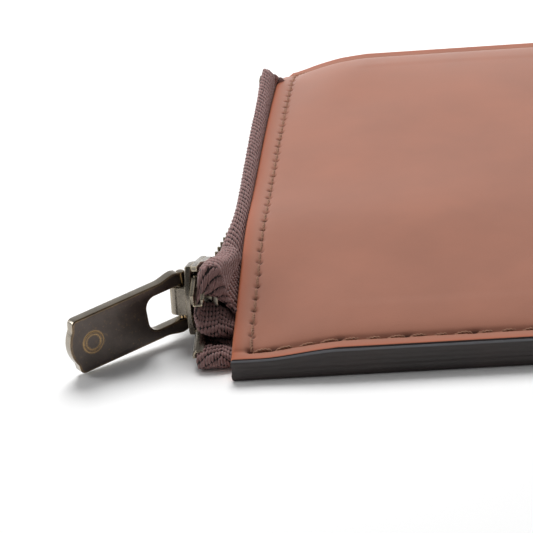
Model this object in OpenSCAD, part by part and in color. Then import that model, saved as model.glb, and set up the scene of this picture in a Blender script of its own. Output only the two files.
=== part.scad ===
// Small zippered leather pouch lying flat: two leather panels, linings, a welted
// seam on three sides and a metal zip along the fourth, with an auto-lock slider.
// X runs from the zip edge into the pouch, Y along the zip away from the closed end,
// Z up. The origin is the centre of the back panel's underside, which is the rest face.

/* [Pouch] */
// Width of the leather panels, from the zip edge to the far side
body_w = 84; // [80:1:100]
// Length of the leather panels, along the zip
body_l = 108; // [104:1:120]
// Thickness of the front and back leather
leather_t = 1.3; // [1.0:0.1:1.3]
// Thickness of each fabric lining
lining_t = 0.3; // [0.2:0.1:0.3]
// Thickness of the welt between the seams
welt_t = 0.9; // [0.7:0.1:0.9]
// How far the front panel domes above its seams
dome_h = 3.6; // [3.4:0.1:4.2]

/* [Stitching] */
// Distance between needle holes
stitch_pitch = 3.0; // [2.8:0.1:3.6]
// Distance of the stitch line from the cut edge
stitch_inset = 2.6; // [2.4:0.1:2.8]
// Diameter of the thread
thread_d = 0.5; // [0.4:0.05:0.5]

/* [Zip] */
// Distance between the teeth of one stringer
tooth_pitch = 1.5; // [1.5:0.1:1.8]
// Thickness of one tooth along the chain
tooth_t = 0.62; // [0.5:0.02:0.62]
// Thickness of the woven tape
tape_t = 0.5; // [0.4:0.05:0.5]
// Height of the pull's hinge bar above the rest face
bar_h = 5.75; // [5.7:0.05:5.9]
// Distance of the hinge bar from the near edge
bar_s = 15.07; // [14.9:0.01:15.3]
// Width of the slider across its mouth
slider_w = 9.9; // [9.6:0.1:10]
// Length of the slider from mouth to tail
slider_l = 11.2; // [11:0.1:11.6]
// How far the slider's tail dips below its mouth, in degrees
slider_pitch = 8; // [7:0.5:8]
// How far the slider's tail leans in toward the leather, in degrees
slider_yaw = 6; // [5:0.5:6]

/* [Pull] */
// Width of the pull tab
pull_w = 8.2; // [7.8:0.1:8.4]
// Length of the pull tab from its hinge bar to its free end
pull_l = 18.9; // [16:0.1:20]
// Thickness of the pull tab
pull_t = 1.6; // [1.2:0.1:1.6]
// Swing of the pull at rest, from straight out toward the closed end
pull_swing = 38; // [30:1:45]
// Droop of the pull at rest
pull_droop = 4; // [2:1:4]

/* [Hidden] */

half_w = body_w / 2;
half_l = body_l / 2;
gap = 0.03;                 // clearance between layers that touch
seam_h = 2 * leather_t + 2 * lining_t;
seam_margin = 2.5;          // flat margin along the sewn edges
welt_w = 10;                // how far the welt reaches in from the edges
welt_start = 14;            // where the welt begins, from the zip edge
ramp_start = 9;             // where the front panel starts to climb over the welt
prop_h = 1.3;               // extra rise where the slider props the mouth up
prop_s = 33;
prop_len = 13;
groove_w = 0.9;
groove_d = 0.6;
tape_in = 6.5;              // how far each tape reaches in under the leather
lining_start = 7;

// ---- heights of the front panel ----
function smooth(a, b, v) = let(t = min(1, max(0, (v - a) / (b - a)))) t * t * (3 - 2 * t);
function from_zip(x) = x + half_w;
function from_near(y) = y + half_l;
function seam_top(x) = seam_h + (welt_t + 2 * gap) * smooth(ramp_start, welt_start, from_zip(x)) + gap;
function along(s) = let(t = (s - seam_margin) / (body_l - 2 * seam_margin))
    pow(sin(180 * min(1, max(0, t))), 0.6);
function across(x) = let(u = min(1, max(0, from_zip(x) / (body_w - seam_margin))))
    (1 + 0.2 * sin(180 * u)) * pow(1 - pow(u, 3), 0.7);
function prop(x, s) = prop_h * exp(-pow((s - prop_s) / prop_len, 2)) * pow(1 - from_zip(x) / body_w, 2)
    * smooth(seam_margin, 12, s);
function top_z(x, y) = seam_top(x) + dome_h * along(from_near(y)) * across(x) + prop(x, from_near(y));

// ---- generic solids from rows of points ----
// A closed sheet between an upper and a lower height, over a grid of x and y stations
module sheet(xs, ys, upper, lower) {
    nx = len(xs);
    ny = len(ys);
    n = nx * ny;
    points = concat([for (y = ys) for (x = xs) [x, y, upper(x, y)]],
                    [for (y = ys) for (x = xs) [x, y, lower(x, y)]]);
    top = [for (i = [0:ny - 2]) for (j = [0:nx - 2]) let(a = i * nx + j)
        each [[a, a + nx, a + 1], [a + 1, a + nx, a + nx + 1]]];
    bottom = [for (f = top) [f[0] + n, f[2] + n, f[1] + n]];
    rim = concat([for (j = [0:nx - 1]) j],
                 [for (i = [1:ny - 1]) i * nx + nx - 1],
                 [for (j = [nx - 2:-1:0]) (ny - 1) * nx + j],
                 [for (i = [ny - 2:-1:1]) i * nx]);
    m = len(rim);
    sides = [for (k = [0:m - 1]) let(a = rim[k], b = rim[(k + 1) % m])
        each [[a, b, a + n], [b, b + n, a + n]]];
    polyhedron(points, concat(top, bottom, sides));
}

// A closed tube whose rings each hold the same number of points
module skin(rings) {
    c = len(rings[0]);
    r = len(rings);
    points = [for (ring = rings) each ring];
    walls = [for (i = [0:r - 2]) for (j = [0:c - 1]) let(a = i * c + j, b = i * c + (j + 1) % c)
        each [[a, b, a + c], [b, b + c, a + c]]];
    start_cap = [for (j = [1:c - 2]) [0, j + 1, j]];
    end_cap = [for (j = [1:c - 2]) let(o = (r - 1) * c) [o, o + j, o + j + 1]];
    polyhedron(points, concat(walls, start_cap, end_cap));
}

function steps(a, b, n) = [for (i = [0:n]) a + (b - a) * i / n];

// ---- leather and linings ----
module back_panel() {
    color("saddlebrown")
    difference() {
        translate([-half_w, -half_l, 0]) cube([body_w, body_l, leather_t]);
        for (side = [-1, 1])
            translate([side * (half_w - stitch_inset) - groove_w / 2, -half_l + 1, -1])
                cube([groove_w, body_l - 2, groove_d + 1]);
        for (side = [-1, 1])
            translate([-half_w + 1, side * (half_l - stitch_inset) - groove_w / 2, -1])
                cube([body_w - 2, groove_w, groove_d + 1]);
    }
}

panel_xs = concat([-half_w, -half_w + 4.5, -half_w + 9, -half_w + 10.5, -half_w + 12, -half_w + 14],
                  steps(-half_w + 18, half_w - 14, 9),
                  [half_w - 10, half_w - 7, half_w - 4.5, half_w - 2.5, half_w]);
panel_ys = concat([-half_l, -half_l + 2.5, -half_l + 4, -half_l + 6, -half_l + 9],
                  steps(-half_l + 12, half_l - 12, 18),
                  [half_l - 9, half_l - 6, half_l - 4, half_l - 2.5, half_l]);

module front_panel() {
    color("rosybrown")
    sheet(panel_xs, panel_ys, function(x, y) top_z(x, y), function(x, y) top_z(x, y) - leather_t);
}

module back_lining() {
    color("dimgray")
    translate([-half_w + lining_start, -half_l, leather_t + gap / 2])
        cube([body_w - lining_start, body_l, lining_t - gap]);
}

lining_xs = concat([-half_w + lining_start], [for (x = panel_xs) if (x > -half_w + lining_start + 0.5) x]);

module front_lining() {
    color("dimgray")
    sheet(lining_xs, panel_ys, function(x, y) top_z(x, y) - leather_t - 0.12,
          function(x, y) top_z(x, y) - leather_t - lining_t);
}

module seam_welt() {
    welt_z = leather_t + lining_t + gap;
    color("sienna")
    translate([0, 0, welt_z])
    linear_extrude(welt_t - 0.1)
    difference() {
        translate([-half_w + welt_start, -half_l]) square([body_w - welt_start, body_l]);
        translate([-half_w + welt_start - 1, -half_l + welt_w])
            square([body_w - welt_start - welt_w + 1, body_l - 2 * welt_w]);
    }
}

// ---- zip stringers ----
bar_out = 7.58;             // the pull's bar, out from the leather's edge
bar_x = 1.6;                // the pull's bar, from the slider's mouth
bar_y = -0.15;
body_half = 2.3;            // half of the slider's thickness over its plates
bar_z = -body_half - 0.88;
// the slider's mouth, found back from the bar through the slider's pitch and yaw
mouth_x = -half_w - bar_out - bar_z * cos(slider_yaw) - bar_x * sin(slider_yaw);
mouth_s = bar_s + bar_z * sin(slider_yaw) - bar_x * cos(slider_yaw);
mouth_z = bar_h - bar_y + bar_x * sin(slider_pitch);
fall = tan(slider_pitch) / cos(slider_yaw);
bead_off = 1.3;             // bead centre from the chain's centre line
part_off = 2.7;             // the same at the mouth, where the two rows part
part_to = 1.8;              // the rows run apart this far into the slider
join_at = 6.6;              // and have met here
closed_x = -half_w - 2.35;  // chain centre along the closed run
closed_z = 4.75;
leave_s = mouth_s + slider_l + 0.6;
settle_z_s = 34;
settle_s = 44;
sink_s = 97;                // past the bottom stop both tapes sink into the seam
tape_end = body_l - 0.8;
function mid_z(d) = mouth_z - d * fall;
// bead height along each stringer: parted at the closed end, together after the slider
upper_bead = [[5, 6.6], [7, 7.6], [9, 8.2], [mouth_s, mid_z(0) + part_off],
              [mouth_s + part_to, mid_z(part_to) + part_off], [mouth_s + join_at, mid_z(join_at) + bead_off],
              [leave_s, mid_z(slider_l + 0.6) + bead_off], [settle_z_s, closed_z + bead_off],
              [sink_s, closed_z + bead_off], [tape_end, 3.5]];
lower_bead = [[2, 1.35], [4, 1.6], [8.4, 2.5], [mouth_s, mid_z(0) - part_off],
              [mouth_s + part_to, mid_z(part_to) - part_off], [mouth_s + join_at, mid_z(join_at) - bead_off],
              [leave_s, mid_z(slider_l + 0.6) - bead_off], [settle_z_s, closed_z - bead_off],
              [sink_s, closed_z - bead_off], [tape_end, 1.9]];
function chain_out(s) = s < mouth_s ? mouth_x
    : s < leave_s ? mouth_x + (s - mouth_s) * tan(slider_yaw)
    : let(a = mouth_x + (leave_s - mouth_s) * tan(slider_yaw))
      a + (closed_x - a) * smooth(leave_s - 4, settle_s, s);
function bead_z(upper, s) = lookup(s, upper ? upper_bead : lower_bead);
// half width of the slider's outline, from mouth to tail
slider_half = [[0, slider_w / 2], [2.6, slider_w / 2 - 0.1], [6.4, 3.85], [9.6, 3.45], [slider_l, 3.4]];

// Middle line of a tape from its hidden edge to its toothed edge, in the x-z plane
function tape_line(upper, s) =
    let(xc = chain_out(s),
        zb = bead_z(upper, s),
        sgn = upper ? 1 : -1,
        wrap = smooth(mouth_s - 3.5, mouth_s - 0.5, s) * (1 - smooth(leave_s - 0.6, leave_s + 4, s)),
        half = lookup(s - mouth_s - sgn * 0.6, slider_half),
        under = upper ? top_z(-half_w, s - half_l) - leather_t - tape_t / 2 - 0.12
                      : leather_t + tape_t / 2 + gap,
        inner = upper ? top_z(-half_w + tape_in, s - half_l) - leather_t - tape_t / 2 - 0.12
                      : leather_t + tape_t / 2 + gap,
        sink = smooth(sink_s, tape_end, s),
        free_z = zb + sgn * (1.6 - 1.1 * sink),
        slot_z = mid_z(max(0, s - mouth_s)) + sgn * (half + 0.3),
        lowest = tape_t / 2 + 0.05,
        leg_z = max(free_z + (slot_z - free_z) * wrap, lowest),
        crest_z = max(leg_z + (upper ? 0.45 * (1 - wrap) * (1 - sink) : -0.3 * (1 - wrap)), lowest),
        crest_x = xc + 0.75 + (body_half - 0.35) * wrap,
        fall_x = max(min(xc + 1.9, -half_w - 0.75), crest_x + 0.15),
        fall_z = crest_z + (under - crest_z) * (wrap > 0.5 ? 0.25 : 0.35))
    [[-half_w + tape_in, inner], [-half_w + tape_in / 2, (under + inner) / 2], [-half_w, under],
     [-half_w - 0.4, under + 0.1 * (fall_z - under)], [fall_x, fall_z], [crest_x, crest_z],
     [xc, leg_z], [xc, zb - sgn * 0.45]];

function unit(v) = v / max(norm(v), 0.0001);
function normals(line) = [for (i = [0:len(line) - 1])
    let(a = line[max(0, i - 1)], b = line[min(len(line) - 1, i + 1)], d = unit(b - a)) [-d[1], d[0]]];
function ring_at(line, s, t) = let(n = normals(line))
    concat([for (i = [0:len(line) - 1]) let(p = line[i] + n[i] * t / 2) [p[0], s - half_l, p[1]]],
           [for (i = [len(line) - 1:-1:0]) let(p = line[i] - n[i] * t / 2) [p[0], s - half_l, p[1]]]);

module tape(upper, s_list) {
    skin([for (s = s_list) ring_at(tape_line(upper, s), s, tape_t)]);
}

upper_tape_start = 6.3;
lower_tape_start = 2.6;
// stations of the closed run, ending on those of the leather above
run_out = concat(steps(52, body_l - 9, 14), [body_l - 6, body_l - 4, body_l - 2.5, tape_end]);
module upper_tape() {
    color("rosybrown")
    tape(true, concat(steps(upper_tape_start, 30, 26), steps(32, 48, 8), run_out));
}
module lower_tape() {
    color("rosybrown")
    tape(false, concat(steps(lower_tape_start, 30, 28), steps(32, 48, 8), run_out));
}

// One tooth: a clamp over the tape edge with a tapered head, on the chain's section plane
module tooth_outline() {
    slot = tape_t / 2 + 0.05;
    jaw = 1.05;
    polygon([[-1.75, -0.5], [-1.75, 0.5], [-0.95, 1.15], [jaw, 1.15], [jaw, slot], [-0.52, slot],
             [-0.52, -slot], [jaw, -slot], [jaw, -1.15], [-0.95, -1.15]]);
}
module clamp_at(upper, s, length) {
    translate([chain_out(s), s - half_l, bead_z(upper, s)])
        rotate([90, 0, 0])
            rotate([0, 0, upper ? 90 : -90])
                translate([0, 0, -length / 2])
                    linear_extrude(length) children();
}
teeth_s = 14.0;
teeth_run = body_l - 14 - teeth_s;
tooth_count = floor(teeth_run / tooth_pitch);
module upper_teeth() {
    color("darkkhaki")
    for (i = [0:tooth_count - 1])
        clamp_at(true, teeth_s + i * tooth_pitch, tooth_t) tooth_outline();
}
module lower_teeth() {
    color("darkkhaki")
    for (i = [-2:tooth_count - 1])
        clamp_at(false, teeth_s + (i + 0.5) * tooth_pitch, tooth_t) tooth_outline();
}

// Top stops: folded bars clamped over the tape edge past the last tooth
module stop_outline() {
    slot = tape_t / 2 + 0.16;
    difference() {
        union() {
            circle(r = 1.0, $fn = 40);
            translate([0, -1.0]) square([0.9, 2.0]);
        }
        translate([-0.52, -slot]) square([3, 2 * slot]);
    }
}
upper_stop_s = [8.6, 13.1];
lower_stop_s = [4.6, 9.4];
module sloped_clamp(upper, span) {
    a = bead_z(upper, span[0]);
    b = bead_z(upper, span[1]);
    mid = (span[0] + span[1]) / 2;
    translate([chain_out(mid), mid - half_l, (a + b) / 2])
        rotate([atan((b - a) / (span[1] - span[0])), 0, 0])
            rotate([90, 0, 0])
                rotate([0, 0, upper ? 90 : -90])
                    translate([0, 0, -(span[1] - span[0]) / 2])
                        linear_extrude(span[1] - span[0]) children();
}
module upper_top_stop() {
    color("gray") sloped_clamp(true, upper_stop_s) stop_outline();
}
module lower_top_stop() {
    color("gray") sloped_clamp(false, lower_stop_s) stop_outline();
}

// Bottom stop: one block clamped over both tape edges
stop_gap = 0.6;
stop_len = 2.8;
stop_w = 1.9;
stop_half = 2.2;
module bottom_stop() {
    s = teeth_s + (tooth_count - 0.5) * tooth_pitch + tooth_t / 2 + stop_gap;
    slot = tape_t + 0.2;
    color("gray")
    translate([closed_x, s - half_l, closed_z])
    difference() {
        translate([-stop_w / 2, 0, -stop_half]) cube([stop_w, stop_len, 2 * stop_half]);
        for (side = [-1, 1])
            translate([-slot / 2, -1, side > 0 ? 0.75 : -3.75]) cube([slot, stop_len + 2, 3]);
    }
}

// ---- slider: local x along the chain toward the tail, y up, z into the pouch ----
plate_t = 0.95;
inside = body_half - plate_t;
flange_w = 0.7;
tail_half = 3.4;
tape_slot = 0.5;            // half of the gap left for each tape
module at_bar() {
    translate([-half_w - bar_out, bar_s - half_l, bar_h]) children();
}
module on_slider() {
    at_bar()
        rotate([0, 0, -slider_yaw])
            rotate([-slider_pitch, 0, 0])
                rotate([90, 0, 90])
                    translate([-bar_x, -bar_y, -bar_z]) children();
}
// Shield outline of a plate: bowed mouth, sloping shoulders, narrow tail with round corners
module shield(trim, bow) {
    w = slider_w / 2 - trim;
    tail = tail_half - trim;
    nose = [for (a = [-1:0.125:1]) [-bow * (1 - a * a), w * a]];
    side = [for (p = slider_half) if (p[0] > 0 && p[0] < slider_l - 1) [p[0], p[1] - trim]];
    back = [[slider_l - 1.2, tail], [slider_l - 0.35, tail - 0.35], [slider_l, tail - 1.2]];
    upper = concat(side, back);
    lower = [for (i = [len(upper) - 1:-1:0]) [upper[i][0], -upper[i][1]]];
    polygon(concat(nose, upper, lower));
}
module flange_outline() {
    difference() {
        shield(0, 0);
        translate([-1, 0]) shield(flange_w, 0);
        translate([slider_l - 3, flange_w - tail_half]) square([4, 2 * (tail_half - flange_w)]);
        translate([-2, -(slider_w / 2 - flange_w)]) square([4, slider_w - 2 * flange_w]);
    }
}
module slider_body() {
    color("darkgoldenrod")
    on_slider() {
        translate([0, 0, -body_half]) linear_extrude(plate_t) shield(0, 1.3);
        translate([0, 0, inside]) linear_extrude(plate_t) shield(0, 0.5);
        translate([0, 0, -inside]) linear_extrude(inside - tape_slot) flange_outline();
        translate([0, 0, tape_slot]) linear_extrude(inside - tape_slot) flange_outline();
        // neck between the two mouths
        translate([0, 0, -inside]) linear_extrude(2 * inside)
            polygon([[0.2, -0.5], [0.2, 0.5], [1.8, 0.6], [3.2, 0.2], [3.2, -0.2], [1.8, -0.6]]);
    }
}

// Crown: a bridge along the outer plate that keeps the pull's bar
crown_w = 4.1;
crown_tail_w = 3.0;
crown_space = 1.75;
crown_t = 0.75;
crown_x0 = -0.4;
crown_x1 = 7.8;
module slider_crown() {
    top = -body_half - crown_space - crown_t;
    color("darkgoldenrod")
    on_slider()
    difference() {
        intersection() {
            rotate([90, 0, 0])
                translate([0, 0, -crown_w / 2])
                    linear_extrude(crown_w)
                        polygon([[crown_x0, -body_half], [crown_x0, -body_half - 1.3],
                                 [crown_x0 + 0.7, top + 0.12], [crown_x0 + 1.4, top],
                                 [crown_x1 - 2.4, top], [crown_x1, -body_half - 0.5],
                                 [crown_x1, -body_half], [crown_x1 - 2.0, -body_half],
                                 [crown_x1 - 2.9, top + crown_t], [crown_x0 + 1.1, top + crown_t],
                                 [crown_x0 + 0.9, -body_half]]);
            translate([0, 0, top - 1])
                linear_extrude(6)
                    polygon([[crown_x0 - 1, -crown_w / 2], [2.4, -crown_w / 2], [crown_x1, -crown_tail_w / 2],
                             [crown_x1, crown_tail_w / 2], [2.4, crown_w / 2], [crown_x0 - 1, crown_w / 2]]);
        }
        // window that the locking pawl moves in
        translate([3.0, -0.75, top - 1]) cube([1.6, 1.5, 3]);
    }
}

// Locking pawl: a sprung finger that sits in the crown's window
module lock_pawl() {
    color("silver")
    on_slider()
    translate([3.2, -0.5, -body_half - crown_space - 0.5]) cube([1.2, 1.0, crown_space + 0.3]);
}

// Pull tab, drawn flat: x from the hinge bar to the free end, y up, z thickness
hole_w = 5.2;
hole_end = 6.3;
bar_d = 1.2;
flare = 0.5;
module pull_outline() {
    w = pull_w / 2;
    shoulder = [for (t = [0:0.125:1]) [1.1 + 2.8 * t, w + flare * (1 - smooth(0, 1, t))]];
    corner = [for (a = [90:-15:0]) [pull_l - 0.9 - 0.8 + 0.8 * cos(a), w - 0.8 + 0.8 * sin(a)]];
    tip = [for (v = [0.75:-0.25:-0.75]) [pull_l - 0.9 + 0.9 * (1 - v * v * 1.4), (w - 0.8) * v]];
    upper = concat([[0.1, w + flare - 0.5], [0.5, w + flare - 0.1]], shoulder, corner);
    lower = [for (i = [len(upper) - 1:-1:0]) [upper[i][0], -upper[i][1]]];
    polygon(concat(upper, tip, lower));
}
module pull_hole() {
    r = 1.6;
    h = hole_w / 2;
    translate([-1, -h]) square([hole_end + 1 - r, hole_w]);
    translate([hole_end - r, -h + r]) square([r, hole_w - 2 * r]);
    for (side = [-1, 1])
        translate([hole_end - r, side * (h - r)]) circle(r = r, $fn = 48);
}
module pull_tab() {
    root = pull_w / 2 + flare - 0.35;
    color("dimgray")
    at_bar()
    rotate([90, 0, 90])
    rotate([0, 90 + pull_swing, 0]) {
        rotate([0, 0, -pull_droop])
        difference() {
            translate([0, 0, -pull_t / 2]) linear_extrude(pull_t) pull_outline();
            translate([0, 0, -pull_t]) linear_extrude(2 * pull_t) pull_hole();
        }
        // the bar that the pull turns on, upright in the crown
        rotate([90, 0, 0]) translate([0, 0, -root]) cylinder(d = bar_d, h = 2 * root, $fn = 40);
    }
}

// ---- stitching ----
stitch_len = stitch_pitch * 0.74;
lift = thread_d / 2 + 0.08;
module stitch(at, toward) {
    d = toward - at;
    l = norm(d);
    translate(at)
        rotate([0, 0, atan2(d[1], d[0])])
            rotate([0, 90 - asin(d[2] / l), 0])
                cylinder(d = thread_d, h = l, $fn = 16);
}
function on_top(x, y) = [x, y, top_z(x, y) + lift];
zip_x = -half_w + stitch_inset;
zip_run = body_l - 2 * stitch_inset;
zip_count = floor(zip_run / stitch_pitch);
side_run = body_w - 2 * stitch_inset;
side_count = floor(side_run / stitch_pitch);
function zip_y(i) = -half_l + stitch_inset + (i + 0.5) * zip_run / zip_count;
function side_x(i) = -half_w + stitch_inset + (i + 0.5) * side_run / side_count;
half_stitch = stitch_len / 2;

module front_zip_stitches() {
    color("tan")
    for (i = [0:zip_count - 1])
        stitch(on_top(zip_x, zip_y(i) - half_stitch), on_top(zip_x, zip_y(i) + half_stitch));
}
groove_z = groove_d / 2;
module back_zip_stitches() {
    color("tan")
    for (i = [0:zip_count - 1])
        stitch([zip_x, zip_y(i) - half_stitch, groove_z], [zip_x, zip_y(i) + half_stitch, groove_z]);
}
module row_across(y) {
    for (i = [0:side_count - 1])
        stitch(on_top(side_x(i) - half_stitch, y), on_top(side_x(i) + half_stitch, y));
}
module near_stitches() {
    color("tan") row_across(-half_l + stitch_inset);
}
module far_stitches() {
    color("tan") row_across(half_l - stitch_inset);
}
module side_stitches() {
    x = half_w - stitch_inset;
    color("tan")
    for (i = [0:zip_count - 1])
        stitch(on_top(x, zip_y(i) - half_stitch), on_top(x, zip_y(i) + half_stitch));
}
module back_seam_stitches() {
    color("tan") {
        for (side = [-1, 1])
            for (i = [0:side_count - 1])
                stitch([side_x(i) - half_stitch, side * (half_l - stitch_inset), groove_z],
                       [side_x(i) + half_stitch, side * (half_l - stitch_inset), groove_z]);
        for (i = [0:zip_count - 1])
            stitch([half_w - stitch_inset, zip_y(i) - half_stitch, groove_z],
                   [half_w - stitch_inset, zip_y(i) + half_stitch, groove_z]);
    }
}

back_panel();
front_panel();
back_lining();
front_lining();
seam_welt();
upper_tape();
lower_tape();
upper_teeth();
lower_teeth();
upper_top_stop();
lower_top_stop();
bottom_stop();
slider_body();
slider_crown();
lock_pawl();
pull_tab();
front_zip_stitches();
back_zip_stitches();
near_stitches();
far_stitches();
side_stitches();
back_seam_stitches();
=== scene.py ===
# Looks for the zippered pouch: leather panels, stitching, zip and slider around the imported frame.
# Lengths in the shape functions are millimetres in the record's frame, and meshes are made in metres.
import math
import random

import bmesh
import bpy
import numpy as np
from mathutils import Matrix, Vector


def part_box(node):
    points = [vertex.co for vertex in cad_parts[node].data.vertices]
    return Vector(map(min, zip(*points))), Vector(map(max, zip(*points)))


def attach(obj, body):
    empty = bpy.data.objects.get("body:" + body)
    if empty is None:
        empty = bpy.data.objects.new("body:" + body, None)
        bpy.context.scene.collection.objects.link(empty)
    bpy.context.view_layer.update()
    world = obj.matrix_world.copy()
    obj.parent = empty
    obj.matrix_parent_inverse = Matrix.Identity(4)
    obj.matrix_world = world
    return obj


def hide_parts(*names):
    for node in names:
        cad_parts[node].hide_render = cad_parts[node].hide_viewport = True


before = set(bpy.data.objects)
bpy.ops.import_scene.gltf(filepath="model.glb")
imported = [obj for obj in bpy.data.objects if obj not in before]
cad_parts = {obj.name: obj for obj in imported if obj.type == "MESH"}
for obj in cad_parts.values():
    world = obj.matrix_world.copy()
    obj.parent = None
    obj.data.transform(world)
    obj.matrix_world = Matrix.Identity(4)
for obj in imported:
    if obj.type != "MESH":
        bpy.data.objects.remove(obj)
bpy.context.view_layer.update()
MM = 0.001

# -------- driving sizes, as in the CAD
_, panel_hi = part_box("back_panel")
HALF_W = panel_hi.x / MM
HALF_L = panel_hi.y / MM
LEATHER_T = panel_hi.z / MM
BODY_W = 2 * HALF_W
BODY_L = 2 * HALF_L
LINING_T = 0.3
WELT_T = 0.9
DOME_H = 3.6
INSET = 2.6
PITCH = 3.0
TAPE_T = 0.5
TAPE_IN = 6.5
TOOTH_PITCH = 1.5
TOOTH_T = 0.62
SLIDER_W = 9.9
SLIDER_L = 11.2
SLIDER_PITCH = math.radians(8)
SLIDER_YAW = math.radians(6)
BAR_OUT = 7.58
BAR_S = 15.07
BAR_H = 5.75
BAR = (1.6, -0.15, -3.18)
PULL_W = 8.2
PULL_L = 18.9
PULL_T = 1.6
PULL_SWING = 38
PULL_DROOP = 4
GAP = 0.03
MARGIN = 2.5
SEAM_H = 2 * LEATHER_T + 2 * LINING_T
WELT_LIFT = WELT_T + 2 * GAP


# -------- shape functions
def smooth(a, b, v):
    """A smooth step from 0 at a to 1 at b."""
    t = np.clip((v - a) / (b - a), 0, 1)
    return t * t * (3 - 2 * t)


def seam_top(x):
    """Height of the sewn stack, which is thicker where the welt lies in it."""
    return SEAM_H + WELT_LIFT * smooth(4, 15, x + HALF_W) + GAP


def along(s):
    """Share of the dome's height along the zip."""
    t = np.clip((s - MARGIN) / (BODY_L - 2 * MARGIN), 0, 1)
    return np.sin(np.pi * t) ** 0.6


def across(x):
    """Share of the dome's height across the pouch."""
    u = np.clip((x + HALF_W) / (BODY_W - MARGIN), 0, 1)
    return (1 + 0.2 * np.sin(np.pi * u)) * (1 - u ** 3) ** 0.7


def prop(x, s):
    """Lift by the slider, which props the zip edge open."""
    rise = 1.3 * np.exp(-(((s - 33) / 13) ** 2))
    return rise * (1 - (x + HALF_W) / BODY_W) ** 2 * smooth(MARGIN, 12, s)


def top_z(x, y):
    """Top of the front leather, without its marks."""
    s = y + HALF_L
    u = x + HALF_W
    curl = smooth(1, 11, u) * smooth(62, 104, s) - 0.35 * (1 - smooth(0, 7, u)) * smooth(96, 106, s)
    middle = smooth(9, 30, s) * (1 - smooth(BODY_L - 30, BODY_L - 9, s))
    spread = WELT_LIFT * (smooth(-6, 34, u) - smooth(4, 15, u)) * middle * smooth(0, 5, u)
    return seam_top(x) + DOME_H * along(s) * across(x) + prop(x, s) + curl + spread


def round_corner(points):
    """Rounds off the panels' corner at the zip's far end, in plan."""
    p = np.array(points, float)
    u = np.clip((p[:, 0] + HALF_W) / 7, 0, 1)
    s = np.clip((p[:, 1] + HALF_L - 97) / 11, 0, 1)
    p[:, 0] += 2.1 * (1 - u) ** 2 * s ** 2.2
    p[:, 1] -= 0.7 * (1 - u) ** 2 * s ** 3
    return p


MOUTH_X = -HALF_W - BAR_OUT - BAR[2] * math.cos(SLIDER_YAW) - BAR[0] * math.sin(SLIDER_YAW)
MOUTH_S = BAR_S + BAR[2] * math.sin(SLIDER_YAW) - BAR[0] * math.cos(SLIDER_YAW)
MOUTH_Z = BAR_H - BAR[1] + BAR[0] * math.sin(SLIDER_PITCH)
FALL = math.tan(SLIDER_PITCH) / math.cos(SLIDER_YAW)
BEAD = 1.3
PART = 2.7
CLOSED_X = -HALF_W - 1.4
CLOSED_Z = 4.75
LEAVE_S = MOUTH_S + SLIDER_L + 0.6
SETTLE_S = 44
SINK_S = 96.5
TAPE_END = 102.5


def mid_z(d):
    """Height of the chain's middle at d along the slider from its mouth."""
    return MOUTH_Z - d * FALL


def bead_table(sign, near, far):
    """Bead heights along one stringer, above (sign 1) or below (sign -1) the chain's middle."""
    return near + [(MOUTH_S, mid_z(0) + sign * PART), (MOUTH_S + 1.8, mid_z(1.8) + sign * PART),
                   (MOUTH_S + 6.6, mid_z(6.6) + sign * BEAD), (LEAVE_S, mid_z(SLIDER_L + 0.6) + sign * BEAD),
                   (34, CLOSED_Z + sign * BEAD), (SINK_S, CLOSED_Z + sign * BEAD), (TAPE_END, far)]


UPPER_BEAD = bead_table(1, [(5, 6.6), (7, 7.6), (9, 8.2)], 2.3)
LOWER_BEAD = bead_table(-1, [(2, 1.35), (4, 1.6), (8.4, 2.5)], 1.8)
SLIDER_HALF = [(0, SLIDER_W / 2), (2.6, SLIDER_W / 2 - 0.1), (6.4, 3.85), (9.6, 3.45), (SLIDER_L, 3.4)]


def look(table, v):
    """A value read from a table of (place, value) pairs."""
    return float(np.interp(v, [p[0] for p in table], [p[1] for p in table]))


def chain_out(s):
    """X of the chain at s along the zip."""
    leave = MOUTH_X + (LEAVE_S - MOUTH_S) * math.tan(SLIDER_YAW)
    if s < MOUTH_S:
        return MOUTH_X
    if s < LEAVE_S:
        return MOUTH_X + (s - MOUTH_S) * math.tan(SLIDER_YAW)
    return leave + (CLOSED_X - leave) * float(smooth(LEAVE_S - 4, SETTLE_S, s))


def bead_z(upper, s):
    """Height of a stringer's bead at s along the zip."""
    return look(UPPER_BEAD if upper else LOWER_BEAD, s)


# -------- mesh helpers
def add_object(name, data):
    obj = bpy.data.objects.new(name, data)
    bpy.context.collection.objects.link(obj)
    return obj


def mesh_object(name, points, faces):
    """A mesh object from points in millimetres."""
    mesh = bpy.data.meshes.new(name)
    mesh.from_pydata([[c * MM for c in p] for p in np.asarray(points, float).tolist()], [], faces)
    mesh.validate()
    mesh.update()
    return add_object(name, mesh)


def point_values(obj, key, values):
    """Stores one number per point, which a material reads back by its name."""
    layer = obj.data.attributes.new(key, "FLOAT", "POINT")
    layer.data.foreach_set("value", np.asarray(values, np.float32))


def shade(obj, angle=35):
    """Smooth shading that stays crisp at edges sharper than angle."""
    mesh = obj.data
    mesh.polygons.foreach_set("use_smooth", [True] * len(mesh.polygons))
    mesh.set_sharp_from_angle(angle=math.radians(angle))
    return obj


def finish_piece(obj, body, materials, replaces=()):
    """Gives a piece its materials, its body and the CAD nodes that it stands for."""
    for material in materials:
        obj.data.materials.append(material)
    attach(obj, body)
    if replaces:
        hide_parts(*replaces)


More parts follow.
